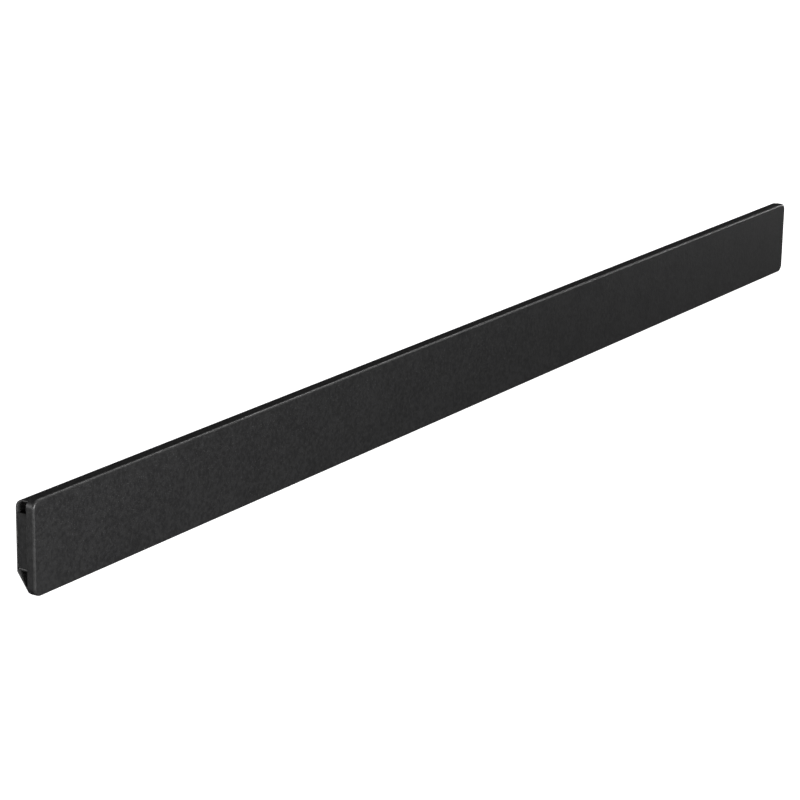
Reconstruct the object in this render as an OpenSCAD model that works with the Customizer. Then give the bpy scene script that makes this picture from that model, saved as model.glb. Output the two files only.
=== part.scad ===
// Kick plate: a shallow steel front panel with a folded channel nested in its rim.
// The panel's face looks towards -Y, the channel's back wall rests against whatever
// the plate is fixed to at +Y, X runs along the plate and Z is up.
// The origin is mid-length and mid-depth, level with the panel's bottom edge.

/* [Front panel] */
// Length of the panel, end to end
panel_l = 1000; // [600:10:1200]
// Height of the panel
panel_h = 60; // [50:1:90]
// Depth of the rim, from the face to its free edge
rim_d = 5.8; // [4.8:0.1:8]
// Radius of the panel's corners, seen from the front
corner_r = 5.8; // [4.8:0.1:10]
// Outer radius of the bend between the face and the rim
edge_r = 1.5; // [1.3:0.1:2]
// Thickness of the panel's sheet
panel_t = 1.0; // [0.8:0.1:1.2]

/* [Rear channel] */
// Depth of the whole plate, from the face to the back wall's outside
plate_d = 14.6; // [12:0.1:20]
// Thickness of the channel's sheet
channel_t = 0.8; // [0.6:0.1:1.2]
// Outer radius of the bend along the top of the channel
top_bend_r = 5.6; // [3:0.1:8]
// Outer radius of the channel's small bends
small_bend_r = 1.5; // [1.3:0.1:2]
// Height at which the back wall turns into the slanted lower wall
slant_z = 13.7; // [8:0.1:20]
// Distance from each end of the panel to the end of the channel
end_inset = 1.4; // [1.4:0.1:6]

/* [End plates] */
// Free height left between an end plate and the channel's top bend
end_gap_top = 2.9; // [1:0.1:4]
// Free height left between an end plate and the channel's lower bend
end_gap_low = 1.5; // [1:0.1:4]
// Length of the flange that lies along the back wall
end_flange_l = 14; // [8:0.5:24]
// Inside radius of the bend between an end plate and its flange
end_bend_in = 0.2; // [0.2:0.1:0.6]
// Radius of the rolled lower edge
roll_r = 0.9; // [0.7:0.05:1.2]

/* [Stiffeners and fixings] */
// Distance from each end of the panel to the nearest fixing screw
screw_margin = 80; // [60:5:150]
// Height of the fixing screws above the bottom edge
screw_z = 33; // [28:0.5:36]
// Thread diameter of the clinch nuts, drawn as a plain bore
thread_d = 5; // [4:0.5:6]
// Diameter of a clinch nut's body
nut_body_d = 9.5; // [8:0.1:12]
// Height of a clinch nut's body, inside the channel
nut_body_h = 3.2; // [2:0.1:4]
// Diameter of a clinch nut's shank, in the back wall's hole
nut_shank_d = 6.4; // [6.2:0.1:7.6]
// Thickness of the stiffeners' sheet
stiffener_t = 0.8; // [0.6:0.1:1.2]
// Width of a stiffener's crown, behind the face
crown_w = 22; // [18:0.5:30]
// Width of each stiffener flange, on the back wall
foot_w = 10; // [6:0.5:16]
// Thickness of the bonding pads between the face and the crowns
pad_t = 1.1; // [0.8:0.1:2]
// Border of the crown that a pad leaves free
pad_border = 3; // [2:0.5:4]

/* [Clearances] */
// Gap between the channel and the panel's rim and face
nest_gap = 0.2; // [0.1:0.05:0.4]
// Gap round a clinch nut's shank
shank_gap = 0.05; // [0.02:0.01:0.1]
// Free height left between a stiffener and the channel's bends
stiffener_relief = 4; // [2:0.5:6]

/* [Hidden] */

$fn = 96;
// A cutter runs this far past what it cuts
over = 1;

coat = [0.10, 0.10, 0.105];
coat_inside = [0.14, 0.14, 0.145];
foam = [0.23, 0.23, 0.24];
zinc = [0.72, 0.72, 0.70];

screw_count = 4;
screw_pitch = (panel_l - 2 * screw_margin) / (screw_count - 1);
screw_x = [for (i = [0 : screw_count - 1]) (i - (screw_count - 1) / 2) * screw_pitch];

// The space inside the panel's rim, seen from the front
nest_l = panel_l - 2 * (panel_t + nest_gap);
nest_h = panel_h - 2 * (panel_t + nest_gap);
nest_r = corner_r - panel_t - nest_gap;

// Depths are measured back from the face, heights up from the bottom edge
nest_front = panel_t + nest_gap;
nest_bottom = panel_t + nest_gap;
channel_top = panel_h - panel_t - nest_gap;
channel_l = panel_l - 2 * end_inset;
end_bend_r = channel_t + end_bend_in;
wall_in = plate_d - channel_t;

// The slanted wall's outside comes down to this depth, just inside the rim's free edge
slant_foot_d = rim_d - nest_gap;
slant_turn = atan2(plate_d - slant_foot_d, slant_z - nest_bottom);

// The flat part of the back wall, between the bends above and below it
flat_bottom = slant_z + small_bend_r * tan(slant_turn / 2);
flat_top = channel_top - top_bend_r;

end_bottom = flat_bottom + end_gap_low;
end_top = flat_top - end_gap_top;
bead_front = rim_d + nest_gap;

stiffener_bottom = flat_bottom + stiffener_relief;
stiffener_h = flat_top - stiffener_relief - stiffener_bottom;
crown_front = panel_t + pad_t;

// Takes a shape whose Y is the depth behind the face to its place round the origin
module from_face() {
    translate([0, -plate_d / 2, 0]) children();
}

// Stands a front view up: its X becomes -X, its Y the height and its Z the depth
module stand_up() {
    from_face() rotate([90, 0, 180]) children();
}

// Runs an end view along X: its X becomes the depth and its Y the height
module along_plate(length) {
    from_face() rotate([90, 0, 90]) linear_extrude(length, center = true) children();
}

module rounded_rectangle(w, h, r) {
    square([w - 2 * r, h], center = true);
    square([w, h - 2 * r], center = true);
    for (x = [-1, 1], y = [-1, 1])
        translate([x * (w / 2 - r), y * (h / 2 - r)]) circle(r);
}

// A quarter of a folded sheet's bend, in the first quadrant
module quarter_bend(r, t) {
    intersection() {
        difference() {
            circle(r);
            circle(r - t);
        }
        square(r);
    }
}

// The bend and rim in section: X runs outwards, Y back from the face
module rim_section() {
    translate([0, edge_r]) mirror([0, 1]) quarter_bend(edge_r, panel_t);
    translate([edge_r - panel_t, edge_r]) square([panel_t, rim_d - edge_r]);
}

module rim_side(side_l, to_side) {
    translate([0, to_side - edge_r, 0])
        rotate([90, 0, 90]) linear_extrude(side_l, center = true) rim_section();
}

module rim_corner() {
    rotate_extrude(angle = 90) translate([corner_r - edge_r, 0]) rim_section();
}

module front_panel() {
    color(coat) stand_up() translate([0, panel_h / 2, 0]) {
        linear_extrude(panel_t)
            rounded_rectangle(panel_l - 2 * edge_r, panel_h - 2 * edge_r, corner_r - edge_r);
        for (turn = [0, 180]) {
            rotate(turn) rim_side(panel_l - 2 * corner_r, panel_h / 2);
            rotate(turn + 90) rim_side(panel_h - 2 * corner_r, panel_l / 2);
        }
        for (x = [0, 1], y = [0, 1])
            mirror([x, 0, 0]) mirror([0, y, 0])
                translate([panel_l / 2 - corner_r, panel_h / 2 - corner_r, 0]) rim_corner();
    }
}

// The channel in end view: top flange, round bend, back wall, small bend, slanted wall
module channel_section() {
    slant_l = 2 * panel_h;
    translate([nest_front, channel_top - channel_t])
        square([plate_d - top_bend_r - nest_front, channel_t]);
    translate([plate_d - top_bend_r, flat_top]) quarter_bend(top_bend_r, channel_t);
    translate([wall_in, flat_bottom]) square([channel_t, flat_top - flat_bottom]);
    intersection() {
        translate([plate_d - small_bend_r, flat_bottom]) {
            intersection() {
                difference() {
                    circle(small_bend_r);
                    circle(small_bend_r - channel_t);
                }
                translate([0, -2 * small_bend_r]) square(2 * small_bend_r);
                rotate(-slant_turn) square(2 * small_bend_r);
            }
            rotate(-slant_turn) translate([small_bend_r - channel_t, -slant_l])
                square([channel_t, slant_l]);
        }
        translate([nest_front, nest_bottom]) square([plate_d, panel_h]);
    }
}

module rear_channel() {
    color(coat_inside) difference() {
        intersection() {
            along_plate(channel_l) channel_section();
            union() {
                // Inside the rim the channel keeps clear of the panel's round corners
                stand_up() translate([0, panel_h / 2, 0])
                    linear_extrude(plate_d + over) rounded_rectangle(nest_l, nest_h, nest_r);
                from_face() translate([-panel_l / 2, rim_d + nest_gap, 0])
                    cube([panel_l, plate_d, panel_h]);
            }
        }
        for (x = screw_x) screw_axis(x) translate([0, 0, -over])
            cylinder(d = nut_shank_d + 2 * shank_gap, h = channel_t + 2 * over);
    }
}

// Puts a turned part on a screw's axis: its Z = 0 is the back wall's outside, and Z runs inwards
module screw_axis(x) {
    translate([x, plate_d / 2, screw_z]) rotate([90, 0, 0]) children();
}

module end_plate() {
    plate_front = nest_front;
    plate_in = channel_l / 2 - channel_t;
    // The plate and its flange, seen from above: X is the distance from mid-length
    from_face() translate([0, 0, end_bottom]) linear_extrude(end_top - end_bottom) {
        translate([plate_in, plate_front])
            square([channel_t, wall_in - end_bend_r - plate_front]);
        translate([channel_l / 2 - end_bend_r, wall_in - end_bend_r])
            quarter_bend(end_bend_r, channel_t);
        translate([channel_l / 2 - end_flange_l, wall_in - channel_t])
            square([end_flange_l - end_bend_r, channel_t]);
    }
    // Behind the rim the lower edge is rolled into a bead along the depth
    from_face() translate([plate_in + channel_t / 2, bead_front, end_bottom])
        rotate([-90, 0, 0]) cylinder(r = roll_r, h = wall_in - end_bend_r - bead_front);
}

module end_plate_left() {
    color(coat) mirror([1, 0, 0]) end_plate();
}

module end_plate_right() {
    color(coat) end_plate();
}

// Half a hat section seen from above, with the crown at the front and the foot on the back wall
module half_hat() {
    inner_r = small_bend_r - stiffener_t;
    web_x = crown_w / 2;
    translate([0, crown_front]) square([web_x - small_bend_r, stiffener_t]);
    translate([web_x - small_bend_r, crown_front + small_bend_r])
        mirror([0, 1]) quarter_bend(small_bend_r, stiffener_t);
    translate([web_x - stiffener_t, crown_front + small_bend_r])
        square([stiffener_t, wall_in - crown_front - 2 * small_bend_r]);
    translate([web_x + inner_r, wall_in - small_bend_r])
        mirror([1, 0]) quarter_bend(small_bend_r, stiffener_t);
    translate([web_x + inner_r, wall_in - stiffener_t]) square([foot_w - inner_r, stiffener_t]);
}

module stiffener(i) {
    color(coat_inside) translate([screw_x[i - 1], 0, stiffener_bottom])
        from_face() linear_extrude(stiffener_h) {
            half_hat();
            mirror([1, 0]) half_hat();
        }
}

module bonding_pads() {
    pad_w = crown_w - 2 * small_bend_r - 2 * pad_border;
    pad_h = stiffener_h - 2 * pad_border;
    color(foam) for (x = screw_x)
        translate([x, 0, stiffener_bottom + stiffener_h / 2]) from_face()
            translate([0, panel_t + pad_t / 2, 0]) cube([pad_w, pad_t, pad_h], center = true);
}

module clinch_nuts() {
    color(zinc) for (x = screw_x) screw_axis(x) difference() {
        union() {
            cylinder(d = nut_shank_d, h = channel_t + nut_body_h / 2);
            translate([0, 0, channel_t]) cylinder(d = nut_body_d, h = nut_body_h);
        }
        translate([0, 0, -over]) cylinder(d = thread_d, h = channel_t + nut_body_h + 2 * over);
    }
}

front_panel();
rear_channel();
end_plate_left();
end_plate_right();
for (i = [1 : screw_count])
    stiffener(i);
bonding_pads();
clinch_nuts();
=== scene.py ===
"""Kick plate: finished meshes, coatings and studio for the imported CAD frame."""

from __future__ import annotations

import logging
import math
from collections.abc import Callable, Sequence
from dataclasses import dataclass, field
from enum import Enum

import bmesh  # noqa: E402
import bpy  # noqa: E402
from mathutils import Matrix, Vector  # noqa: E402

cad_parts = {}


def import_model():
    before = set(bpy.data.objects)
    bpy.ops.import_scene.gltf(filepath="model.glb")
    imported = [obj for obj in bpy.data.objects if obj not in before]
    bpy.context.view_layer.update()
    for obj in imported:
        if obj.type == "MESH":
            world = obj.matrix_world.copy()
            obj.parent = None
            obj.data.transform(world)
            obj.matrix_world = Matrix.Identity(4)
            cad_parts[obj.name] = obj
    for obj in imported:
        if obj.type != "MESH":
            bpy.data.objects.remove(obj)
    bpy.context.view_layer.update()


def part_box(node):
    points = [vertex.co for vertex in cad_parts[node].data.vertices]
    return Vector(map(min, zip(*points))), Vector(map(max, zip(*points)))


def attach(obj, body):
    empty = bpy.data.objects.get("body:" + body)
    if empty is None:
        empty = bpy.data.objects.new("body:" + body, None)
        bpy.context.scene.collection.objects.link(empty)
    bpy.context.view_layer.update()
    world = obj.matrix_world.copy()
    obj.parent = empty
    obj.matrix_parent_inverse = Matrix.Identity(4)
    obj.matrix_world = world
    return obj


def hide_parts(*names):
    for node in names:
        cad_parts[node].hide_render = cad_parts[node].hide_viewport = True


LOG = logging.getLogger("kick_plate")
MM = 0.001
DOUBLES = 1e-7
ROUND_STEPS = 28
BODY = "root"
# Edge values pale the coats: abrasion at cut edges, painted highlight along the panel's bends and over
# the beads.
EDGE = "edge"
# Marks the inside skins of the sheets, which the coats paint far lighter: painted fill light in the
# hollows.
INSIDE = "inside"

Point = tuple[float, float]
Place = Callable[[float, float, float], Vector]


class Slot(Enum):
    """The record's material slots."""

    PANEL = "panel_coat"
    CHANNEL = "channel_coat"
    FOAM = "foam_pad"
    ZINC = "nut_zinc"


class Side(Enum):
    """The two ends of the plate, as the face is looked at."""

    LEFT = -1
    RIGHT = 1


# --------------------------------------------------------------------------- meshes


def arc(centre: Point, radius: float, start: float, stop: float, steps: int) -> list[Point]:
    """Points along an arc, both ends included.

    Args:
        centre: The arc's centre.
        radius: The arc's radius.
        start: First angle, in degrees.
        stop: Last angle, in degrees.
        steps: Number of equal parts.

    Returns:
        steps + 1 points in order.
    """
    angles = [math.radians(start + (stop - start) * i / steps) for i in range(steps + 1)]
    return [(centre[0] + radius * math.cos(a), centre[1] + radius * math.sin(a)) for a in angles]


def mesh_object(name: str, bm: bmesh.types.BMesh, turn_out: bool = True) -> bpy.types.Object:
    """Closes a bmesh into a linked object at the origin.

    Args:
        name: Name of the object and of its mesh.
        bm: The built faces; it is freed here.
        turn_out: Whether doubles are merged and all faces turned outwards.

    Returns:
        The new object.
    """
    if turn_out:
        bmesh.ops.remove_doubles(bm, verts=bm.verts, dist=DOUBLES)
        bmesh.ops.recalc_face_normals(bm, faces=bm.faces)
    mesh = bpy.data.meshes.new(name)
    bm.to_mesh(mesh)
    bm.free()
    obj = bpy.data.objects.new(name, mesh)
    bpy.context.scene.collection.objects.link(obj)
    return obj


def smooth_by_angle(mesh: bpy.types.Mesh, degrees: float) -> None:
    """Shades a mesh smooth, with every edge sharper than an angle kept crisp.

    Args:
        mesh: The mesh to shade.
        degrees: Largest angle between two faces that still shade as one.
    """
    mesh.shade_smooth()
    bm = bmesh.new()
    bm.from_mesh(mesh)
    limit = math.radians(degrees)
    for edge in bm.edges:
        edge.smooth = len(edge.link_faces) == 2 and edge.calc_face_angle(0.0) < limit
    bm.to_mesh(mesh)
    bm.free()


def loft(bm: bmesh.types.BMesh, rows: Sequence[Sequence[bmesh.types.BMVert]]) -> None:
    """Fills the faces between neighbouring closed rows of equal length.

    Args:
        bm: The mesh that the rows belong to.
        rows: Rows of vertices, each closed on itself.
    """
    for low, high in zip(rows, rows[1:]):
        count = len(low)
        for i in range(count):
            j = (i + 1) % count
            bm.faces.new((low[i], low[j], high[j], high[i]))


def swept_section(
    name: str,
    outline: Sequence[Point],
    low: Callable[[Point], float],
    high: Callable[[Point], float],
    place: Place,
    edge_marks: Sequence[float],
    lip: float,
    end_marks: Sequence[float] | None = None,
) -> bpy.types.Object:
    """A closed section carried along a straight line, with a narrow strip at each end that carries the
    ends' edge values.

    Args:
        name: Name of the new object.
        outline: The section's points in order, closed on itself.
        low: Where the sweep starts for a point of the section.
        high: Where the sweep ends for a point of the section.
        place: Turns (section x, section y, distance) into a place in the frame.
        edge_marks: Edge value of each point of the outline, from 0 to 1.
        lip: Width of the strip at each end that counts as an edge.
        end_marks: Edge value of each point at both ends; 1 all round if left out.

    Returns:
        The new object, with its edge attribute.
    """
    bm = bmesh.new()
    mark = bm.verts.layers.float.new(EDGE)
    inner = bm.verts.layers.float.new(INSIDE)
    ends_worn = end_marks or [1.0] * len(outline)

    def row(at: Callable[[Point], float], marks: Sequence[float]) -> list[bmesh.types.BMVert]:
        """One copy of the section."""
        made = []
        for i, (point, value) in enumerate(zip(outline, marks)):
            vert = bm.verts.new(place(point[0], point[1], at(point)))
            vert[mark], vert[inner] = value, float(2 * i >= len(outline))
            made.append(vert)
        return made

    rows = [
        row(low, ends_worn),
        row(lambda p: low(p) + lip, edge_marks),
        row(lambda p: high(p) - lip, edge_marks),
        row(high, ends_worn),
    ]
    loft(bm, rows)
    half = len(outline) // 2
    for ends in (rows[0], rows[-1]):
        for i in range(half - 1):
            bm.faces.new((ends[i], ends[i + 1], ends[-2 - i], ends[-1 - i]))
    return mesh_object(name, bm)


def fold(
    middle_out: Sequence[Point], middle_in: Sequence[Point]
) -> tuple[list[Point], list[float]]:
    """The closed outline of a folded sheet, with its edge values.

    Args:
        middle_out: Points along the sheet's outside, in order.
        middle_in: As many points along its inside, in the same order.

    Returns:
        The outline, and an edge value for each of its points.
    """
    outline = [*middle_out, *reversed(middle_in)]
    count = len(middle_out)
    marks = [0.0] * len(outline)
    for i in (0, count - 1, count, 2 * count - 1):
        marks[i] = 1.0
    return outline, marks


# --------------------------------------------------------------------------- nodes


class NodeBuilder:
    """Short calls for placing and joining nodes in one tree."""

    def __init__(self, tree: bpy.types.NodeTree) -> None:
        """Keeps the tree that nodes are added to."""
        self.tree = tree

    def add(self, kind: str, **settings: object) -> bpy.types.Node:
        """Adds a node.

        Args:
            kind: The node's type name.
            settings: Its properties by name.

        Returns:
            The new node.
        """
        node = self.tree.nodes.new(kind)
        for name, value in settings.items():
            setattr(node, name, value)
        return node

    def set(self, node: bpy.types.Node, **values: object) -> bpy.types.Node:
        """Sets inputs of a node; an underscore in a name stands for a space.

        Args:
            node: The node.
            values: Input values by name, or a socket to link from.

        Returns:
            The same node.
        """
        for name, value in values.items():
            self.feed(node.inputs[name.replace("_", " ")], value)
        return node

    def feed(self, socket: bpy.types.NodeSocket, value: object) -> None:
        """Links a socket, or sets a plain value."""
        if isinstance(value, bpy.types.NodeSocket):
            self.tree.links.new(value, socket)
        else:
            socket.default_value = value

    def math(self, operation: str, a: object, b: object = 0.0) -> bpy.types.NodeSocket:
        """A Math node's result."""
        node = self.add("ShaderNodeMath", operation=operation)
        self.feed(node.inputs[0], a)
        self.feed(node.inputs[1], b)
        return node.outputs[0]

    def ranged(self, value: object, low: object, high: object) -> bpy.types.NodeSocket:
        """Stretches a value from 0..1 to low..high."""
        node = self.add("ShaderNodeMapRange")
        self.feed(node.inputs["Value"], value)
        self.feed(node.inputs["To Min"], low)
        self.feed(node.inputs["To Max"], high)
        return node.outputs[0]

    def mix(self, factor: object, a: object, b: object) -> bpy.types.NodeSocket:
        """A colour between two."""
        node = self.add("ShaderNodeMix", data_type="RGBA")
        for i, value in ((0, factor), (6, a), (7, b)):
            self.feed(node.inputs[i], value)
        return node.outputs[2]


def new_group(name: str, inputs: dict[str, float], outputs: Sequence[str]) -> tuple:
    """Starts a shader node group of plain number sockets, with a vector called Place.

    Args:
        name: The group's name.
        inputs: Number inputs with their default values.
        outputs: Number outputs.

    Returns:
        The tree, its builder, its input node and its output node.
    """
    tree = bpy.data.node_groups.new(name, "ShaderNodeTree")
    face = tree.interface
    face.new_socket("Place", in_out="INPUT", socket_type="NodeSocketVector")
    for label, value in inputs.items():
        socket = face.new_socket(label, in_out="INPUT", socket_type="NodeSocketFloat")
        socket.default_value = value
    for label in outputs:
        face.new_socket(label, in_out="OUTPUT", socket_type="NodeSocketFloat")
    build = NodeBuilder(tree)
    return tree, build, build.add("NodeGroupInput"), build.add("NodeGroupOutput")


@dataclass
class FinishEffects:
    """Node groups that several finishes share, each built once."""

    peel: bpy.types.NodeTree = field(init=False)
    wear_and_highlight: bpy.types.NodeTree = field(init=False)

    def __post_init__(self) -> None:
        """Builds the groups."""
        self.peel = self._coat_peel()
        self.wear_and_highlight = self._wear_and_highlight_group()

    @staticmethod
    def _coat_peel() -> bpy.types.NodeTree:
        """The skin of a sprayed coat: soft mounds, a finer leather grain and pinhead specks.

        Returns:
            A group that puts out a height and a soft blotch mask.
        """
        tree, b, given, out = new_group(
            "coat_peel", {"Mound Scale": 330.0, "Grain Scale": 1500.0, "Grain Share": 0.35},
            ("Height", "Blotch"),
        )
        place = given.outputs["Place"]
        warp = b.add("ShaderNodeTexNoise")
        b.set(warp, Vector=place, Scale=90.0, Detail=1.0)
        bent = b.add("ShaderNodeVectorMath", operation="MULTIPLY_ADD")
        b.feed(bent.inputs[0], warp.outputs["Color"])
        bent.inputs[1].default_value = (0.003, 0.003, 0.003)
        b.feed(bent.inputs[2], place)
        mound = b.add("ShaderNodeTexNoise")
        b.set(mound, Vector=bent.outputs[0], Scale=given.outputs["Mound Scale"], Detail=2.5,
              Roughness=0.55, Distortion=0.25)
        cell = b.add("ShaderNodeTexVoronoi", feature="SMOOTH_F1")
        b.set(cell, Vector=bent.outputs[0], Scale=given.outputs["Grain Scale"], Smoothness=0.7)
        speck = b.add("ShaderNodeTexNoise")
        b.set(speck, Vector=place, Scale=4200.0, Detail=1.0)
        fine = b.math("MULTIPLY", cell.outputs["Distance"], given.outputs["Grain Share"])
        dust = b.math("MULTIPLY", speck.outputs["Fac"], 0.10)
        height = b.math("ADD", b.math("ADD", mound.outputs["Fac"], fine), dust)
        wide = b.add("ShaderNodeTexNoise")
        b.set(wide, Vector=place, Scale=38.0, Detail=4.0, Roughness=0.6)
        close = b.add("ShaderNodeTexNoise")
        b.set(close, Vector=bent.outputs[0], Scale=400.0, Detail=3.0, Roughness=0.6)
        blotch = b.math("ADD", b.math("MULTIPLY", wide.outputs["Fac"], 0.2),
                        b.math("MULTIPLY", close.outputs["Fac"], 0.8))
        b.feed(out.inputs["Height"], height)
        b.feed(out.inputs["Blotch"], blotch)
        return tree

    @staticmethod
    def _wear_and_highlight_group() -> bpy.types.NodeTree:
        """Paled bends and cut edges, broken up so that no line is even: abrasion at cut edges, and
        painted highlight along the panel's bends and over the beads.

        Returns:
            A group that puts out one mask.
        """
        tree, b, given, out = new_group("edge_wear", {"Edge": 0.0, "Amount": 0.5}, ("Mask",))
        breakup = b.add("ShaderNodeTexNoise")
        b.set(breakup, Vector=given.outputs["Place"], Scale=160.0, Detail=5.0, Roughness=0.65)
        patch = b.ranged(breakup.outputs["Fac"], -0.6, 1.6)
        worn_and_highlit = b.math("MULTIPLY", b.math("POWER", given.outputs["Edge"], 1.6), patch)
        b.feed(out.inputs["Mask"], b.math("MULTIPLY", worn_and_highlit, given.outputs["Amount"]))
        return tree


class Finish:
    """Common start of every finish: a material with its shader, place and edge nodes."""

    def start(self, name: str) -> None:
        """Makes the empty material.

        Args:
            name: The material's name.
        """
        material = bpy.data.materials.new(name)
        material.use_nodes = True
        tree = material.node_tree
        tree.nodes.clear()
        builder = NodeBuilder(tree)
        shader = builder.add("ShaderNodeBsdfPrincipled")
        end = builder.add("ShaderNodeOutputMaterial")
        tree.links.new(shader.outputs[0], end.inputs[0])
        place = builder.add("ShaderNodeTexCoord").outputs["Object"]
        edge = builder.add("ShaderNodeAttribute", attribute_name=EDGE).outputs["Fac"]
        self.parts = (material, builder, shader, place, edge)

    def bumped(self, height: object, strength: float, distance: float) -> None:
        """Feeds a height to the shader's normal through a Bump node."""
        _, builder, shader, _, _ = self.parts
        bump = builder.add("ShaderNodeBump")
        builder.set(bump, Height=height, Strength=strength, Distance=distance)
        builder.feed(shader.inputs["Normal"], bump.outputs[0])


@dataclass(frozen=True)
class CoatValues:
    """Values of one sprayed powder coat."""

    name: str
    dark: tuple[float, float, float]
    light: tuple[float, float, float]
    # Paler tone for marked edges: abrasion at cut edges, painted highlight along the bends and over the
    # beads.
    worn_and_highlit: tuple[float, float, float]
    # Far lighter tone for the inside skins: painted fill light in the hollows behind the sheets.
    painted_fill_tone: tuple[float, float, float]
    roughness: tuple[float, float]
    mound_scale: float
    grain_scale: float
    relief: float
    # Strength of the edge paling: abrasion plus painted highlight.
    wear_and_highlight: float
    specular: float
    peel_depth: float = 0.10 * MM


class PowderCoat(Finish):
    """Sprayed and baked coat on steel sheet."""

    def __init__(self, values: CoatValues, effects: FinishEffects) -> None:
        """Builds the material.

        Args:
            values: The coat's colours, roughness and relief.
            effects: The shared node groups.
        """
        self.start(values.name)
        self.material, b, shader, place, edge = self.parts
        peel = b.add("ShaderNodeGroup", node_tree=effects.peel)
        b.set(peel, Place=place, Mound_Scale=values.mound_scale, Grain_Scale=values.grain_scale)
        # The edge mask pales and smooths the coat: abrasion at cut edges, painted highlight along the
        # bends and over the beads.
        wear_and_highlight = b.add("ShaderNodeGroup", node_tree=effects.wear_and_highlight)
        b.set(wear_and_highlight, Place=place, Edge=edge, Amount=values.wear_and_highlight)
        mask = wear_and_highlight.outputs["Mask"]
        shade = b.ranged(peel.outputs["Blotch"], -2.2, 3.2)
        full = b.mix(shade, (*values.dark, 1.0), (*values.light, 1.0))
        # Inside skins are mixed most of the way to a far lighter tone: painted fill light in the hollows
        # behind the sheets.
        inner = b.add("ShaderNodeAttribute", attribute_name=INSIDE).outputs["Fac"]
        painted_fill_share = b.math("MULTIPLY", inner, b.ranged(shade, 0.65, 1.0))
        body = b.mix(painted_fill_share, full, (*values.painted_fill_tone, 1.0))
        b.set(shader, Base_Color=b.mix(mask, body, (*values.worn_and_highlit, 1.0)))
        low, high = values.roughness
        matt = b.ranged(b.math("MULTIPLY", peel.outputs["Height"], 0.8), low, high)
        b.set(shader, Roughness=b.math("SUBTRACT", matt, b.math("MULTIPLY", mask, 0.20)))
        shader.inputs["Specular IOR Level"].default_value = values.specular
        self.bumped(peel.outputs["Height"], values.relief, values.peel_depth)


class ZincPlate(Finish):
    """Bright zinc on turned steel, with fine rings from the tool."""

    def __init__(self, effects: FinishEffects) -> None:
        """Builds the material from the shared node groups."""
        self.start("zinc_plate")
        self.material, b, shader, place, edge = self.parts
        ring_place = b.add("ShaderNodeAttribute", attribute_name="turned").outputs["Fac"]
        lines = b.math("SINE", b.math("MULTIPLY", ring_place, 2 * math.pi / (0.14 * MM)))
        stain = b.add("ShaderNodeTexNoise")
        b.set(stain, Vector=place, Scale=700.0, Detail=5.0, Roughness=0.6)
        wear_and_highlight = b.add("ShaderNodeGroup", node_tree=effects.wear_and_highlight)
        b.set(wear_and_highlight, Place=place, Edge=edge, Amount=0.7)
        tone = b.mix(stain.outputs["Fac"], (0.40, 0.40, 0.385, 1.0), (0.66, 0.66, 0.64, 1.0))
        b.set(shader, Base_Color=b.mix(wear_and_highlight.outputs["Mask"], tone, (0.78, 0.78, 0.77, 1.0)))
        b.set(shader, Roughness=b.ranged(stain.outputs["Fac"], 0.22, 0.44))
        shader.inputs["Metallic"].default_value = 1.0
        self.bumped(b.math("ADD", lines, stain.outputs["Fac"]), 0.35, 0.006 * MM)


class FoamTape(Finish):
    """Closed-cell tape between the face and the stiffeners."""

    def __init__(self) -> None:
        """Builds the material."""
        self.start("foam_tape")
        self.material, b, shader, place, _ = self.parts
        cells = b.add("ShaderNodeTexVoronoi", feature="SMOOTH_F1")
        b.set(cells, Vector=place, Scale=2600.0, Smoothness=0.4)
        cloud = b.add("ShaderNodeTexNoise")
        b.set(cloud, Vector=place, Scale=250.0, Detail=3.0)
        b.set(shader, Base_Color=b.mix(
            cloud.outputs["Fac"], (0.035, 0.035, 0.037, 1.0), (0.062, 0.062, 0.066, 1.0)))
        b.set(shader, Roughness=b.ranged(cells.outputs["Distance"], 0.78, 0.95))
        self.bumped(cells.outputs["Distance"], 0.6, 0.08 * MM)


# --------------------------------------------------------------------------- repeats


def geometry_tree(name: str, sockets: dict[str, str]) -> tuple[NodeBuilder, bpy.types.Node]:
    """Starts a geometry tree with named inputs and one geometry output.

    Args:
        name: The tree's name.
        sockets: Socket types by input name.

    Returns:
        The tree's builder and its input node.
    """
    tree = bpy.data.node_groups.new(name, "GeometryNodeTree")
    tree.is_modifier = True
    tree.interface.new_socket("Geometry", in_out="INPUT", socket_type="NodeSocketGeometry")
    for label, kind in sockets.items():
        tree.interface.new_socket(label, in_out="INPUT", socket_type=kind)
    tree.interface.new_socket("Geometry", in_out="OUTPUT", socket_type="NodeSocketGeometry")
    builder = NodeBuilder(tree)
    return builder, builder.add("NodeGroupInput")


def end_tree(b: NodeBuilder, geometry: bpy.types.NodeSocket, finish: object) -> bpy.types.NodeTree:
    """Ends a geometry tree in Realize Instances and Set Material.

    Args:
        b: The tree's builder.
        geometry: What the tree has made.
        finish: The material's socket.

    Returns:
        The finished tree.
    """
    real = b.add("GeometryNodeRealizeInstances")
    b.feed(real.inputs[0], geometry)
    dress = b.add("GeometryNodeSetMaterial")
    b.set(dress, Geometry=real.outputs[0], Material=finish)
    b.feed(b.add("NodeGroupOutput").inputs[0], dress.outputs[0])
    return b.tree


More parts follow.
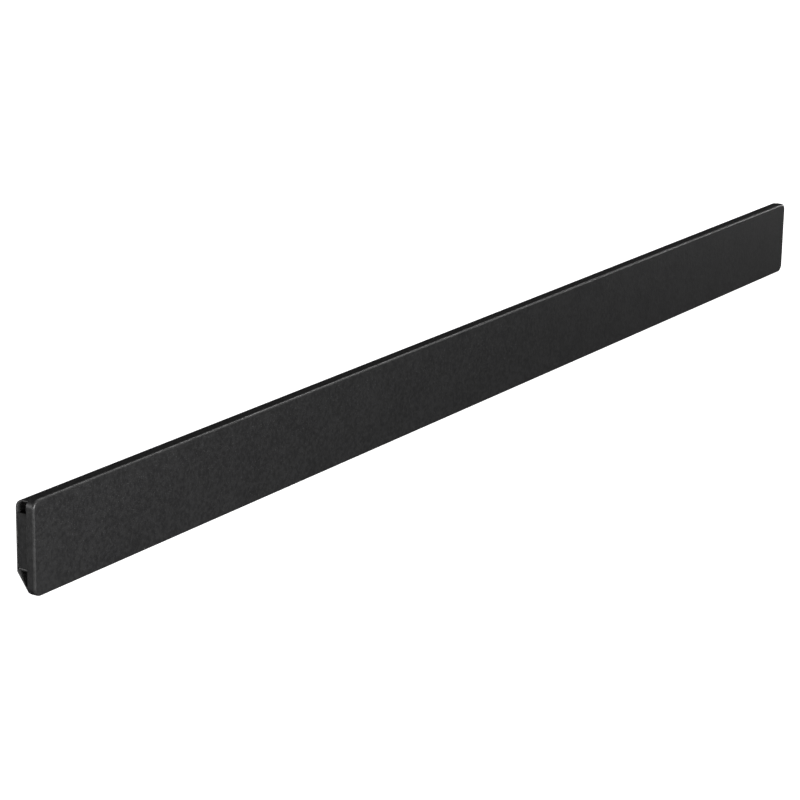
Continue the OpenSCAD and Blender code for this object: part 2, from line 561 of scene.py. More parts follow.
def apply_tree(
    obj: bpy.types.Object, tree: bpy.types.NodeTree, values: dict[str, object], name: str
) -> bpy.types.Object:
    """Runs a geometry tree on an object and keeps the result as a plain mesh.

    Args:
        obj: The object that the tree starts from; it is removed.
        tree: The geometry tree.
        values: Inputs by name.
        name: Name of the resulting object.

    Returns:
        A new object with the plain mesh.
    """
    modifier = obj.modifiers.new(tree.name, "NODES")
    modifier.node_group = tree
    by_name = {s.name: s.identifier for s in tree.interface.items_tree if s.in_out == "INPUT"}
    for label, value in values.items():
        modifier[by_name[label]] = value
    bpy.context.view_layer.update()
    graph = bpy.context.evaluated_depsgraph_get()
    done = obj.evaluated_get(graph)
    mesh = bpy.data.meshes.new_from_object(done, preserve_all_data_layers=True, depsgraph=graph)
    mesh.name = name
    obj.modifiers.remove(modifier)
    bpy.data.objects.remove(obj)
    result = bpy.data.objects.new(name, mesh)
    bpy.context.scene.collection.objects.link(result)
    return result


def points_along_x(b: NodeBuilder, count: object, pitch: object) -> bpy.types.NodeSocket:
    """Evenly spaced points along X, centred on the origin.

    Args:
        b: The tree's builder.
        count: Number of points.
        pitch: Distance between neighbours.

    Returns:
        The line's geometry.
    """
    span = b.math("MULTIPLY", b.math("SUBTRACT", count, 1.0), pitch)
    first = b.add("ShaderNodeCombineXYZ")
    b.set(first, X=b.math("MULTIPLY", span, -0.5))
    step = b.add("ShaderNodeCombineXYZ")
    b.set(step, X=pitch)
    line = b.add("GeometryNodeMeshLine")
    b.set(line, Count=count, Start_Location=first.outputs[0], Offset=step.outputs[0])
    return line.outputs[0]


class Repeats:
    """The geometry trees for rows of fixings and for the holes and weld spots they need."""

    def __init__(self) -> None:
        """Builds both trees."""
        self.row = self._row_tree()
        self.cuts = self._cut_tree()

    @staticmethod
    def _row_tree() -> bpy.types.NodeTree:
        """A straight row of copies of one part along X.

        Returns:
            The tree, with inputs Part, Count, Pitch and Finish.
        """
        b, given = geometry_tree("row_of_parts", {
            "Part": "NodeSocketObject", "Count": "NodeSocketInt", "Pitch": "NodeSocketFloat",
            "Finish": "NodeSocketMaterial",
        })
        take = given.outputs
        line = points_along_x(b, take["Count"], take["Pitch"])
        part = b.add("GeometryNodeObjectInfo")
        b.set(part, Object=take["Part"])
        copies = b.add("GeometryNodeInstanceOnPoints")
        b.set(copies, Points=line, Instance=part.outputs["Geometry"])
        return end_tree(b, copies.outputs[0], take["Finish"])

    @staticmethod
    def _cut_tree() -> bpy.types.NodeTree:
        """Screw holes and weld dimples in a back wall.

        Returns:
            The tree, with inputs for both cutters, the spacings and the finish.
        """
        b, given = geometry_tree("wall_cuts", {
            "Hole Cutter": "NodeSocketObject", "Dimple Cutter": "NodeSocketObject",
            "Count": "NodeSocketInt", "Pitch": "NodeSocketFloat",
            "Foot Spread": "NodeSocketFloat", "Weld Rise": "NodeSocketFloat",
            "End Spread": "NodeSocketFloat", "Finish": "NodeSocketMaterial",
        })
        take = given.outputs

        def grid(spread: object, rise: object, across: int, up: int) -> bpy.types.NodeSocket:
            """Weld points in a grid that stands in the XZ plane."""
            made = b.add("GeometryNodeMeshGrid")
            b.set(made, Size_X=spread, Size_Y=rise, Vertices_X=across, Vertices_Y=up)
            stand = b.add("GeometryNodeTransform")
            b.set(stand, Geometry=made.outputs[0], Rotation=(math.pi / 2, 0.0, 0.0))
            return stand.outputs[0]

        line = points_along_x(b, take["Count"], take["Pitch"])
        hole = b.add("GeometryNodeObjectInfo")
        b.set(hole, Object=take["Hole Cutter"])
        holes = b.add("GeometryNodeInstanceOnPoints")
        b.set(holes, Points=line, Instance=hole.outputs["Geometry"])

        feet = b.add("GeometryNodeInstanceOnPoints")
        b.set(feet, Points=line,
              Instance=grid(take["Foot Spread"], take["Weld Rise"], 2, 3))
        spots = b.add("GeometryNodeJoinGeometry")
        b.feed(spots.inputs[0], feet.outputs[0])
        b.feed(spots.inputs[0], grid(take["End Spread"], take["Weld Rise"], 2, 2))
        real_spots = b.add("GeometryNodeRealizeInstances")
        b.feed(real_spots.inputs[0], spots.outputs[0])
        lens = b.add("GeometryNodeObjectInfo")
        b.set(lens, Object=take["Dimple Cutter"])
        dimples = b.add("GeometryNodeInstanceOnPoints")
        b.set(dimples, Points=real_spots.outputs[0], Instance=lens.outputs["Geometry"])

        cutters = b.add("GeometryNodeJoinGeometry")
        for source in (holes, dimples):
            solid = b.add("GeometryNodeRealizeInstances")
            b.feed(solid.inputs[0], source.outputs[0])
            b.feed(cutters.inputs[0], solid.outputs[0])
        cut = b.add("GeometryNodeMeshBoolean", operation="DIFFERENCE")
        b.feed(cut.inputs[0], take["Geometry"])
        b.feed(cut.inputs[1], cutters.outputs[0])
        return end_tree(b, cut.outputs[0], take["Finish"])


# --------------------------------------------------------------------------- pieces


@dataclass
class Piece:
    """What every sub-assembly does with a finished mesh."""

    def dress(
        self, obj: bpy.types.Object, finish: Finish, slot: Slot, nodes: Sequence[str]
    ) -> bpy.types.Object:
        """Gives a piece its finish and its place in the frame.

        Args:
            obj: The piece.
            finish: The finish it gets.
            slot: The record's slot for it; not used.
            nodes: CAD nodes that it stands for.

        Returns:
            The same piece.
        """
        obj.data.materials.clear()
        obj.data.materials.append(finish.material)
        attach(obj, BODY)
        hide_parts(*nodes)
        return obj


@dataclass
class FrontPanel(Piece):
    """The tray of 1 mm sheet: face, round bend and rim."""

    sheet: float = 1.0 * MM
    corner_radius: float = 5.8 * MM
    bend_radius: float = 1.5 * MM
    cut_round: float = 0.15 * MM
    corner_steps: int = 16
    bend_steps: int = 10

    def section(self, rim_depth: float) -> list[tuple[float, float, float]]:
        """The sheet's section from the middle of the face, round the rim and back.

        Args:
            rim_depth: Depth of the rim behind the face.

        Returns:
            (distance in from the outline, depth behind the face, edge value) triples.
        """
        r, t, c = self.bend_radius, self.sheet, self.cut_round
        path = [(r + 1.2 * MM, 0.0, 0.0), (r + 0.25 * MM, 0.0, 0.0)]
        for i in range(self.bend_steps + 1):
            a = math.pi / 2 * i / self.bend_steps
            # The edge value peaks at the middle of the bend, where the highlight falls: painted highlight
            # along the bend, with abrasion.
            worn_and_highlit = math.sin(2 * a) ** 0.5 if 0 < i < self.bend_steps else 0.0
            path.append((r - r * math.sin(a), r - r * math.cos(a), worn_and_highlit))
        path += [(0.0, rim_depth - 2 * c, 0.0), (0.0, rim_depth - c, 0.6)]
        path += [(0.3 * c, rim_depth - 0.3 * c, 1.0), (c, rim_depth, 1.0)]
        path += [(t - c, rim_depth, 1.0), (t - 0.3 * c, rim_depth - 0.3 * c, 1.0)]
        path += [(t, rim_depth - c, 0.5), (t, rim_depth - 2 * c, 0.0)]
        for i in range(5):
            a = math.pi / 2 * (1 - i / 4)
            path.append((r - (r - t) * math.sin(a), r - (r - t) * math.cos(a), 0.0))
        return [*path, (r + 1.2 * MM, t, 0.0)]

    def outline(self, half_l: float, half_h: float, inset: float) -> list[Point]:
        """A rounded rectangle, seen from the front.

        Args:
            half_l: Half the panel's length.
            half_h: Half its height.
            inset: Distance in from the panel's own outline.

        Returns:
            Its points in order.
        """
        r = self.corner_radius - inset
        x, z = half_l - self.corner_radius, half_h - self.corner_radius
        points: list[Point] = []
        for turn, (sx, sz) in enumerate(((1, 1), (-1, 1), (-1, -1), (1, -1))):
            start = 90.0 * turn
            points += arc((sx * x, sz * z), r, start, start + 90.0, self.corner_steps)
        return points

    def build(self, finish: Finish) -> bpy.types.Object:
        """Makes the panel and dresses it.

        Args:
            finish: The face's coat.

        Returns:
            The finished panel.
        """
        low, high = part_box("front_panel")
        half_l, half_h = (high.x - low.x) / 2, (high.z - low.z) / 2
        middle_x, middle_z = (high.x + low.x) / 2, (high.z + low.z) / 2
        bm = bmesh.new()
        mark = bm.verts.layers.float.new(EDGE)
        inner = bm.verts.layers.float.new(INSIDE)
        rows = []
        section = self.section(high.y - low.y)
        for i, (inset, depth, worn_and_highlit) in enumerate(section):
            ring = []
            for x, z in self.outline(half_l, half_h, inset):
                vert = bm.verts.new((middle_x + x, low.y + depth, middle_z + z))
                vert[mark], vert[inner] = worn_and_highlit, float(i >= len(section) - 7)
                ring.append(vert)
            rows.append(ring)
        loft(bm, rows)
        bm.faces.new(rows[0])
        bm.faces.new(rows[-1])
        panel = mesh_object("kick_plate_front", bm)
        smooth_by_angle(panel.data, 40.0)
        return self.dress(panel, finish, Slot.PANEL, ["front_panel"])


@dataclass
class RearChannel(Piece):
    """The folded channel: top flange, round bend, back wall and slanted lower wall."""

    sheet: float = 0.8 * MM
    top_bend: float = 5.6 * MM
    small_bend: float = 1.5 * MM
    slant_height: float = 13.7 * MM
    foot_depth: float = 5.6 * MM
    rim_reach: float = 6.0 * MM
    nest_radius: float = 4.6 * MM
    nest_gap: float = 1.2 * MM
    hole_radius: float = 3.25 * MM
    weld_radius: float = 2.2 * MM
    weld_depth: float = 0.13 * MM
    weld_rise: float = 19.0 * MM
    foot_spread: float = 32.4 * MM
    hair: float = 0.01 * MM
    cut_round: float = 0.25 * MM
    crease: float = 25.0
    punch_steps: int = 48

    def path(self, offset: float, depth: float, low_z: float, high_z: float) -> list[Point]:
        """One side of the folded sheet.

        Args:
            offset: Distance in from the outside.
            depth: Depth of the whole channel behind the face.
            low_z: Height of the sheet's lower end.
            high_z: Height of the channel's top.

        Returns:
            (depth, height) points from the top flange's front down to the lower end.
        """
        r, s, step = self.top_bend, self.small_bend, self.hair
        turn = math.atan2(depth - self.foot_depth, self.slant_height - low_z)
        knee = self.slant_height + s * math.tan(turn / 2)
        top_z = high_z - offset
        points = [(self.nest_gap, top_z), (self.rim_reach, top_z), (self.rim_reach + step, top_z)]
        points += arc((depth - r, high_z - r), r - offset, 90.0, 0.0, 14)
        points += arc((depth - s, knee), s - offset, 0.0, -math.degrees(turn), 6)
        last_d, last_z = points[-1]
        steep = 1.0 / math.tan(turn)
        for at in (self.rim_reach + step, self.rim_reach):
            points.append((at, last_z - (last_d - at) * steep))
        reach = points[-1][1]
        for share in (0.5, 1.0):
            z = reach + (low_z - reach) * share
            points.append((last_d - (last_z - z) / steep, z))
        return points

    def end_of(self, half_l: float, panel_half: float, panel_h: float) -> Callable[[Point], float]:
        """Where the sheet ends along X at a point of its section.

        Args:
            half_l: Half the channel's length.
            panel_half: Half the panel's length.
            panel_h: The panel's height.

        Returns:
            A function of a (depth, height) point.
        """
        centre = panel_half - self.nest_gap - self.nest_radius

        def end(point: Point) -> float:
            """Half the sheet's length there."""
            depth, z = point
            if depth > self.rim_reach + self.hair / 2:
                return half_l
            into = self.nest_gap + self.nest_radius - min(z, panel_h - z)
            if into <= 0:
                return half_l
            bow = math.sqrt(max(0.0, self.nest_radius ** 2 - into ** 2))
            return min(half_l, centre + bow)

        return end

    def cutters(self, wall_y: float, height: float) -> tuple[bpy.types.Object, bpy.types.Object]:
        """The punch for a screw hole and the lens that presses a weld spot.

        Args:
            wall_y: Y of the back wall's outside.
            height: Height of the screws above the origin.

        Returns:
            The two cutters, at their places for a row along X.
        """
        turn = Matrix.Translation((0.0, wall_y, height)) @ Matrix.Rotation(math.pi / 2, 4, "X")
        bm = bmesh.new()
        bmesh.ops.create_cone(bm, cap_ends=True, segments=self.punch_steps, radius1=self.hole_radius,
                              radius2=self.hole_radius, depth=6 * self.sheet)
        bmesh.ops.transform(bm, matrix=turn, verts=bm.verts)
        punch = mesh_object("hole_punch", bm)
        bm = bmesh.new()
        ball = (self.weld_radius ** 2 + self.weld_depth ** 2) / (2 * self.weld_depth)
        reach = 1.5 * math.asin(self.weld_radius / ball)
        rings = []
        for i in range(1, 7):
            a = reach * i / 6
            radius, drop = ball * math.sin(a), ball * (1 - math.cos(a)) - self.weld_depth
            rings.append([bm.verts.new((radius * math.cos(t), radius * math.sin(t), drop))
                          for t in (2 * math.pi * k / ROUND_STEPS for k in range(ROUND_STEPS))])
        loft(bm, rings)
        tip = bm.verts.new((0.0, 0.0, -self.weld_depth))
        for k in range(ROUND_STEPS):
            bm.faces.new((rings[0][k], rings[0][(k + 1) % ROUND_STEPS], tip))
        bm.faces.new(rings[-1])
        flip = Matrix.Translation((0.0, wall_y, height)) @ Matrix.Rotation(-math.pi / 2, 4, "X")
        bmesh.ops.transform(bm, matrix=flip, verts=bm.verts)
        return punch, mesh_object("weld_lens", bm)

    def build(self, finish: Finish, repeats: Repeats, row: "FixingRow") -> bpy.types.Object:
        """Makes the channel with its holes and weld spots, and dresses it.

        Args:
            finish: The channel's coat.
            repeats: The geometry trees.
            row: Number, pitch and height of the fixings.

        Returns:
            The finished channel.
        """
        low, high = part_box("rear_channel")
        panel_low, panel_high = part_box("front_panel")
        depth = high.y - panel_low.y
        outside = self.path(0.0, depth, low.z, high.z)
        inside = self.path(self.sheet, depth, low.z, high.z)
        outline, marks = fold(outside, inside)
        end = self.end_of(high.x, panel_high.x, panel_high.z - panel_low.z)
        wall = depth - self.sheet - self.hair
        rubbed = [1.0 if d > wall else 0.15 for d, _ in outline]
        channel = swept_section(
            "channel_blank", outline, lambda p: -end(p), end,
            lambda d, z, x: Vector((x, panel_low.y + d, z)), marks, self.cut_round, rubbed,
        )
        punch, lens = self.cutters(high.y, row.height)
        plate_low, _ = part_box("end_plate_right")
        channel = apply_tree(channel, repeats.cuts, {
            "Hole Cutter": punch, "Dimple Cutter": lens, "Count": row.count, "Pitch": row.pitch,
            "Foot Spread": self.foot_spread, "Weld Rise": self.weld_rise,
            "End Spread": plate_low.x + high.x - 1.0 * MM, "Finish": finish.material,
        }, "kick_plate_channel")
        for cutter in (punch, lens):
            bpy.data.objects.remove(cutter)
        smooth_by_angle(channel.data, self.crease)
        return self.dress(channel, finish, Slot.CHANNEL, ["rear_channel"])


@dataclass
class EndPlate(Piece):
    """One end plate: a folded tab with a flange on the back wall and a rolled lower edge."""

    side: Side
    sheet: float = 0.8 * MM
    bend: float = 1.0 * MM
    flange: float = 14.0 * MM
    roll: float = 0.9 * MM
    bead_start: float = 6.0 * MM
    cut_round: float = 0.12 * MM
    crease: float = 35.0

    def tab(self, low: Vector, high: Vector, foot_z: float) -> bpy.types.Object:
        """The plate with its bend and flange, seen from above and drawn up.

        Args:
            low: Lowest corner of the right-hand plate's box.
            high: Its highest corner.
            foot_z: Height of the plate's lower edge.

        Returns:
            The bare tab.
        """
        out_x = high.x - (self.roll - self.sheet / 2)
        r, back = self.bend, high.y

        def path(offset: float) -> list[Point]:
            """One side of the folded tab."""
            bend = arc((out_x - r, back - r), r - offset, 0.0, 90.0, 8)
            return [(out_x - offset, low.y), *bend, (out_x - self.flange, back - offset)]

        outline, marks = fold(path(0.0), path(self.sheet))
        return swept_section(
            f"{self.side.name.lower()}_tab", outline, lambda p: foot_z, lambda p: high.z,
            lambda x, y, z: Vector((self.side.value * x, y, z)), marks, self.cut_round,
        )

    def bead(self, high: Vector, foot_z: float) -> bpy.types.Object:
        """The rolled lower edge, with domed ends.

        Args:
            high: Highest corner of the right-hand plate's box.
            foot_z: Height of the bead's axis.

        Returns:
            The bare bead.
        """
        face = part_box("front_panel")[0].y
        start, stop, r = face + self.bead_start, high.y - self.bend, self.roll
        dome = [i / 6 * math.pi / 2 for i in range(7)]
        stations = [(start + 0.35 * r * (1 - math.sin(a)), r * (0.55 + 0.45 * math.sin(a)))
                    for a in dome]
        stations += [(stop - 0.35 * r * (1 - math.sin(a)), r * (0.55 + 0.45 * math.sin(a)))
                     for a in reversed(dome)]
        bm = bmesh.new()
        mark = bm.verts.layers.float.new(EDGE)
        axis_x = high.x - r
        rows = []
        for y, radius in stations:
            ring = []
            for k in range(ROUND_STEPS):
                a = 2 * math.pi * k / ROUND_STEPS
                x = axis_x + radius * math.cos(a)
                vert = bm.verts.new((self.side.value * x, y, foot_z + radius * math.sin(a)))
                # The whole bead is marked as edge, so the coat is paled all over it: painted highlight on
                # the bead, with abrasion.
                vert[mark] = 1.0
                ring.append(vert)
            rows.append(ring)
        loft(bm, rows)
        bm.faces.new(rows[0])
        bm.faces.new(rows[-1])
        return mesh_object(f"{self.side.name.lower()}_bead", bm)

    def build(self, finish: Finish) -> bpy.types.Object:
        """Makes the end plate and dresses it.

        Args:
            finish: The plate's coat.

        Returns:
            The finished end plate.
        """
        node = f"end_plate_{self.side.name.lower()}"
        low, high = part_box("end_plate_right")
        foot_z = low.z + self.roll
        bm = bmesh.new()
        for part in (self.tab(low, high, foot_z), self.bead(high, foot_z)):
            bm.from_mesh(part.data)
            bpy.data.objects.remove(part)
        plate = mesh_object(f"kick_plate_{node}", bm, turn_out=False)
        smooth_by_angle(plate.data, self.crease)
        return self.dress(plate, finish, Slot.PANEL, [node])


@dataclass
class FixingRow(Piece):
    """The stiffeners, bonding pads and clinch nuts that repeat along the plate."""

    count: int = 4
    hat_sheet: float = 0.8 * MM
    hat_bend: float = 1.5 * MM
    crown: float = 22.0 * MM
    foot: float = 10.0 * MM
    body_radius: float = 4.75 * MM
    shank_radius: float = 3.2 * MM
    thread_radius: float = 2.5 * MM
    thread_pitch: float = 0.8 * MM
    thread_depth: float = 0.32 * MM
    lead_in: float = 0.45 * MM
    wall: float = 0.8 * MM
    pitch: float = field(init=False)
    height: float = field(init=False)

    def __post_init__(self) -> None:
        """Reads the row's pitch and height from the frame."""
        low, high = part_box("clinch_nuts")
        self.pitch = (high.x - low.x - 2 * self.body_radius) / (self.count - 1)
        self.height = (low.z + high.z) / 2

    def hat(self) -> bpy.types.Object:
        """One stiffener at the middle of the plate.

        Returns:
            The bare hat section.
        """
        low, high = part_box("stiffener_1")
        front, back = low.y, high.y
        r, t, web = self.hat_bend, self.hat_sheet, self.crown / 2

        def side(offset: float) -> list[Point]:
            """One skin of the right half, from the crown's middle to the foot's end."""
            inner = r - t
            crown = arc((web - r, front + r), r - offset, -90.0, 0.0, 6)
            ankle = arc((web + inner, back - r), inner + offset, 180.0, 90.0, 6)
            ends = [(web + self.foot, back - (t - offset))]
            return [*crown, *ankle, *ends]

        def whole(offset: float) -> list[Point]:
            """One skin of the whole hat."""
            half = side(offset)
            return [*[(-x, y) for x, y in reversed(half)], *half]

        outline, marks = fold(whole(0.0), whole(t))
        return swept_section(
            "hat_blank", outline, lambda p: low.z, lambda p: high.z,
            lambda x, y, z: Vector((x, y, z)), marks, 0.2 * MM,
        )

    def pad(self) -> bpy.types.Object:
        """One foam pad at the middle of the plate, bulging a little at its cut edges.

        Returns:
            The bare pad.
        """
        low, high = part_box("bonding_pads")
        width = high.x - low.x - (self.count - 1) * self.pitch
        tall, thick = high.z - low.z, high.y - low.y
        bm = bmesh.new()
        rows = []
        for i in range(7):
            share = i / 6
            bulge = 0.25 * MM * (math.sin(math.pi * share) - 1)
            half_w, half_h = width / 2 + bulge, tall / 2 + bulge
            ring = []
            for turn, (sx, sz) in enumerate(((1, 1), (-1, 1), (-1, -1), (1, -1))):
                corner = (sx * (half_w - 0.6 * MM), sz * (half_h - 0.6 * MM))
                for x, z in arc(corner, 0.6 * MM, 90.0 * turn, 90.0 * turn + 90.0, 5):
                    ring.append(bm.verts.new((x, low.y + thick * share, (low.z + high.z) / 2 + z)))
            rows.append(ring)
        loft(bm, rows)
        bm.faces.new(rows[0])
        bm.faces.new(rows[-1])
        return mesh_object("pad_blank", bm)

    def nut_section(self, length: float) -> list[tuple[float, float, float]]:
        """A clinch nut's outside, from the bore's mouth round to its inner end.

        Args:
            length: The nut's whole length.

        Returns:
            (radius, distance from the wall's outside, edge value) triples.
        """
        mouth, body, shank = self.thread_radius + self.lead_in, self.body_radius, self.shank_radius
        c = 0.25 * MM
        return [
            (mouth, 0.0, 1.0), (shank - 0.6 * c, 0.0, 1.0), (shank, 0.6 * c, 1.0),
            (shank, self.wall, 0.0), (body - c, self.wall, 1.0), (body, self.wall + c, 1.0),
            (body, length - 2 * c, 0.6), (body - 0.6 * c, length - 0.6 * c, 1.0),
            (body - 2 * c, length, 0.8), (mouth, length, 1.0),
        ]

    def nut(self) -> bpy.types.Object:
        """One clinch nut at the middle of the plate, with its thread cut as a real helix.

        Returns:
            The bare nut, with a turned attribute that runs outwards from its axis.
        """
        low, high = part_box("clinch_nuts")
        length, around = high.y - low.y, 40
        bm = bmesh.new()
        mark = bm.verts.layers.float.new(EDGE)
        turned = bm.verts.layers.float.new("turned")

        def ring(radius: Callable[[float], float], depth: float, worn_and_highlit: float) -> list:
            """One ring of the nut at a distance inside the wall."""
            made = []
            for k in range(around):
                a = 2 * math.pi * k / around
                r = radius(a)
                vert = bm.verts.new((r * math.cos(a), high.y - depth, self.height + r * math.sin(a)))
                vert[mark], vert[turned] = worn_and_highlit, r + depth
                made.append(vert)
            return made

        def groove(depth: float) -> Callable[[float], float]:
            """Radius of the thread round one ring, fading out into both lead-ins."""
            def radius(a: float) -> float:
                """Radius at one angle."""
                phase = (depth / self.thread_pitch + a / (2 * math.pi)) % 1.0
                tooth = 1.0 - abs(2.0 * phase - 1.0)
                cone = max(0.0, self.lead_in - depth, self.lead_in - (length - depth))
                cut = self.thread_depth * min(1.0, 1.25 * tooth)
                return self.thread_radius + max(cone, cut)
            return radius

        rows = [ring(lambda a, r=r: r, d, e) for r, d, e in self.nut_section(length)]
        steps = 60
        for i in range(1, steps):
            depth = length * (1 - i / steps)
            rows.append(ring(groove(depth), depth, 0.3))
        loft(bm, [*rows, rows[0]])
        return mesh_object("nut_blank", bm)

    def build(self, finishes: dict[Slot, Finish], repeats: Repeats) -> list[bpy.types.Object]:
        """Makes the three rows and dresses them.

        Args:
            finishes: A finish for each slot.
            repeats: The geometry trees.

        Returns:
            The stiffeners, the pads and the nuts.
        """
        hats = [f"stiffener_{i + 1}" for i in range(self.count)]
        rows = (
            ("kick_plate_stiffeners", self.hat(), Slot.CHANNEL, hats),
            ("kick_plate_pads", self.pad(), Slot.FOAM, ["bonding_pads"]),
            ("kick_plate_nuts", self.nut(), Slot.ZINC, ["clinch_nuts"]),
        )
        made = []
        for name, part, slot, nodes in rows:
            start = mesh_object(f"{name}_start", bmesh.new(), turn_out=False)
            row = apply_tree(start, repeats.row, {
                "Part": part, "Count": self.count, "Pitch": self.pitch,
                "Finish": finishes[slot].material,
            }, name)
            bpy.data.objects.remove(part)
            smooth_by_angle(row.data, 30.0)
            made.append(self.dress(row, finishes[slot], slot, nodes))
        return made


# --------------------------------------------------------------------------- studio


@dataclass(frozen=True)
class SoftBox:
    """One soft studio lamp that faces the plate."""

    name: str
    towards: tuple[float, float, float]
    distance: float
    width: float
    tall: float
    power: float
    aim: tuple[float, float, float] = (0.0, 0.0, 0.03)

    def build(self) -> bpy.types.Object:
        """Sets up the lamp, turned to its aim.

        Returns:
            The lamp.
        """
        data = bpy.data.lights.new(self.name, "AREA")
        data.shape, data.size, data.size_y = "RECTANGLE", self.width, self.tall
        data.energy = self.power
        lamp = bpy.data.objects.new(self.name, data)
        way = Vector(self.towards).normalized()
        lamp.location = Vector(self.aim) + way * self.distance
        lamp.rotation_mode = "QUATERNION"
        lamp.rotation_quaternion = way.to_track_quat("Z", "Y")
        lamp.visible_camera = False
        bpy.context.scene.collection.objects.link(lamp)
        return lamp


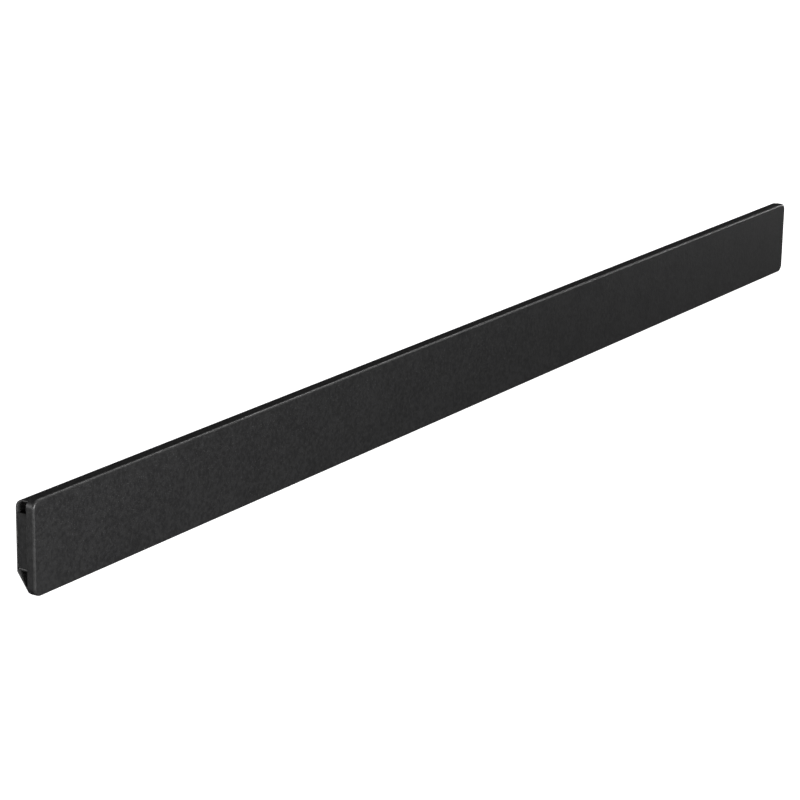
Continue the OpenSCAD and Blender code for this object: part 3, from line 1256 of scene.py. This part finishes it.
@dataclass
class Studio:
    """Pale floor, soft lamps and the camera."""

    floor_half: float = 30.0
    floor_tone: float = 0.80
    floor_glow: float = 1.0
    backdrop: float = 1.0
    room: float = 0.01
    lamps: tuple[SoftBox, ...] = (
        SoftBox("key_right", (0.72, -0.27, 0.64), 2.6, 1.2, 0.5, 20.0),
        SoftBox("strip_left", (-0.78, 0.59, 0.22), 2.6, 0.6, 0.3, 20.0),
        SoftBox("fill_front", (-0.10, -0.99, 0.15), 2.8, 1.0, 0.5, 18.0),
        SoftBox("near_left", (-0.15, -0.97, 0.17), 0.9, 0.5, 0.3, 13.0, (-0.62, 0.0, 0.03)),
        SoftBox("low_right", (0.97, -0.22, 0.06), 2.8, 0.5, 0.3, 16.0),
        SoftBox("low_left", (-0.95, 0.25, 0.08), 2.8, 0.8, 0.4, 12.0),
        SoftBox("side_left", (-0.98, -0.16, 0.02), 2.2, 0.6, 0.3, 9.0),
        SoftBox("overhead", (0.15, -0.30, 0.95), 2.2, 1.8, 0.5, 4.0),
        SoftBox("back_soft", (0.0, 1.0, 0.03), 2.8, 0.8, 0.5, 150.0),
    )
    eye: tuple[float, float, float] = (-1.68876, -1.02137, 0.58065)
    yaw: float = 0.99985
    pitch: float = 0.28640
    roll: float = 0.01665
    lens: float = 127.206
    sensor: float = 36.0

    def camera(self) -> bpy.types.Object:
        """Places the camera in front of the left end, a little above the plate.

        Returns:
            The scene's camera.
        """
        data = bpy.data.cameras.new("camera")
        data.lens, data.sensor_width = self.lens, self.sensor
        data.clip_start, data.clip_end = 0.05, 100.0
        camera = bpy.data.objects.new("camera", data)
        sin_y, cos_y = math.sin(self.yaw), math.cos(self.yaw)
        ahead = Vector((sin_y * math.cos(self.pitch), cos_y * math.cos(self.pitch),
                        -math.sin(self.pitch)))
        right = Vector((cos_y, -sin_y, 0.0))
        up = right.cross(ahead)
        turned_right = math.cos(self.roll) * right + math.sin(self.roll) * up
        turned_up = -math.sin(self.roll) * right + math.cos(self.roll) * up
        axes = Matrix((turned_right, turned_up, -ahead)).transposed()
        camera.matrix_world = Matrix.Translation(self.eye) @ axes.to_4x4()
        bpy.context.scene.collection.objects.link(camera)
        bpy.context.scene.camera = camera
        return camera

    def floor(self) -> bpy.types.Object:
        """Lays the floor under the plate.

        Returns:
            The floor, kept out of glossy rays.
        """
        bm = bmesh.new()
        bmesh.ops.create_grid(bm, x_segments=1, y_segments=1, size=self.floor_half)
        floor = mesh_object("floor", bm, turn_out=False)
        floor.visible_glossy = False
        material = bpy.data.materials.new("floor_paper")
        material.use_nodes = True
        b = NodeBuilder(material.node_tree)
        shader = material.node_tree.nodes["Principled BSDF"]
        tone = self.floor_tone
        grain = b.add("ShaderNodeTexNoise")
        b.set(grain, Vector=b.add("ShaderNodeTexCoord").outputs["Object"], Scale=3.0, Detail=3.0)
        pale = b.mix(grain.outputs["Fac"], (tone, tone, tone, 1.0), (tone + 0.02,) * 3 + (1.0,))
        seen = b.add("ShaderNodeLightPath").outputs["Is Camera Ray"]
        b.set(shader, Base_Color=pale, Roughness=0.9, Emission_Color=(1.0, 1.0, 1.0, 1.0),
              Emission_Strength=b.math("MULTIPLY", seen, self.floor_glow))
        shader.inputs["Specular IOR Level"].default_value = 0.0
        floor.data.materials.append(material)
        return floor

    def surroundings(self) -> bpy.types.World:
        """A white backdrop that leaves the room itself dim.

        Returns:
            The scene's world.
        """
        world = bpy.data.worlds.new("studio")
        world.use_nodes = True
        b = NodeBuilder(world.node_tree)
        sky = world.node_tree.nodes["Background"]
        seen = b.add("ShaderNodeLightPath").outputs["Is Camera Ray"]
        b.set(sky, Color=(1.0, 1.0, 1.0, 1.0), Strength=b.ranged(seen, self.room, self.backdrop))
        bpy.context.scene.world = world
        return world

    def build(self) -> None:
        """Sets up the whole studio, with plain display colours."""
        view = bpy.context.scene.view_settings
        view.view_transform, view.look = "Standard", "None"
        self.camera()
        self.floor()
        self.surroundings()
        for lamp in self.lamps:
            lamp.build()
            LOG.info("lamp %s: %.0f W", lamp.name, lamp.power)


# --------------------------------------------------------------------------- making


def finishes() -> dict[Slot, Finish]:
    """Builds every finish of the plate.

    Returns:
        A finish for each of the record's slots.
    """
    effects = FinishEffects()
    face = CoatValues(
        name="face_coat", dark=(0.0100, 0.0100, 0.0103), light=(0.0170, 0.0170, 0.0173),
        worn_and_highlit=(0.055, 0.055, 0.055), painted_fill_tone=(0.075, 0.075, 0.074), roughness=(0.36, 0.50), mound_scale=330.0,
        grain_scale=1500.0, relief=0.80, wear_and_highlight=0.60, specular=0.32,
    )
    inner = CoatValues(
        name="channel_coat", dark=(0.0060, 0.0060, 0.0062), light=(0.0095, 0.0095, 0.0098),
        worn_and_highlit=(0.060, 0.060, 0.060), painted_fill_tone=(0.075, 0.075, 0.074), roughness=(0.46, 0.60), mound_scale=420.0,
        grain_scale=1900.0, relief=0.60, wear_and_highlight=0.45, specular=0.25,
    )
    return {
        Slot.PANEL: PowderCoat(face, effects),
        Slot.CHANNEL: PowderCoat(inner, effects),
        Slot.FOAM: FoamTape(),
        Slot.ZINC: ZincPlate(effects),
    }


def report(obj: bpy.types.Object) -> None:
    """Logs one piece's name, size and number of faces."""
    size = ", ".join(f"{v * 1000:.2f}" for v in obj.dimensions)
    LOG.info("%s: %s mm, %d faces", obj.name, size, len(obj.data.polygons))


def main() -> None:
    """Builds the pieces in order, then the studio."""
    logging.basicConfig(level=logging.INFO, format="%(name)s: %(message)s")
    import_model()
    coats = finishes()
    repeats = Repeats()
    row = FixingRow()
    pieces = [
        FrontPanel().build(coats[Slot.PANEL]),
        RearChannel().build(coats[Slot.CHANNEL], repeats, row),
        EndPlate(Side.LEFT).build(coats[Slot.PANEL]),
        EndPlate(Side.RIGHT).build(coats[Slot.PANEL]),
        *row.build(coats, repeats),
    ]
    bpy.context.view_layer.update()
    for piece in pieces:
        report(piece)
    Studio().build()


if __name__ == "__main__":
    main()
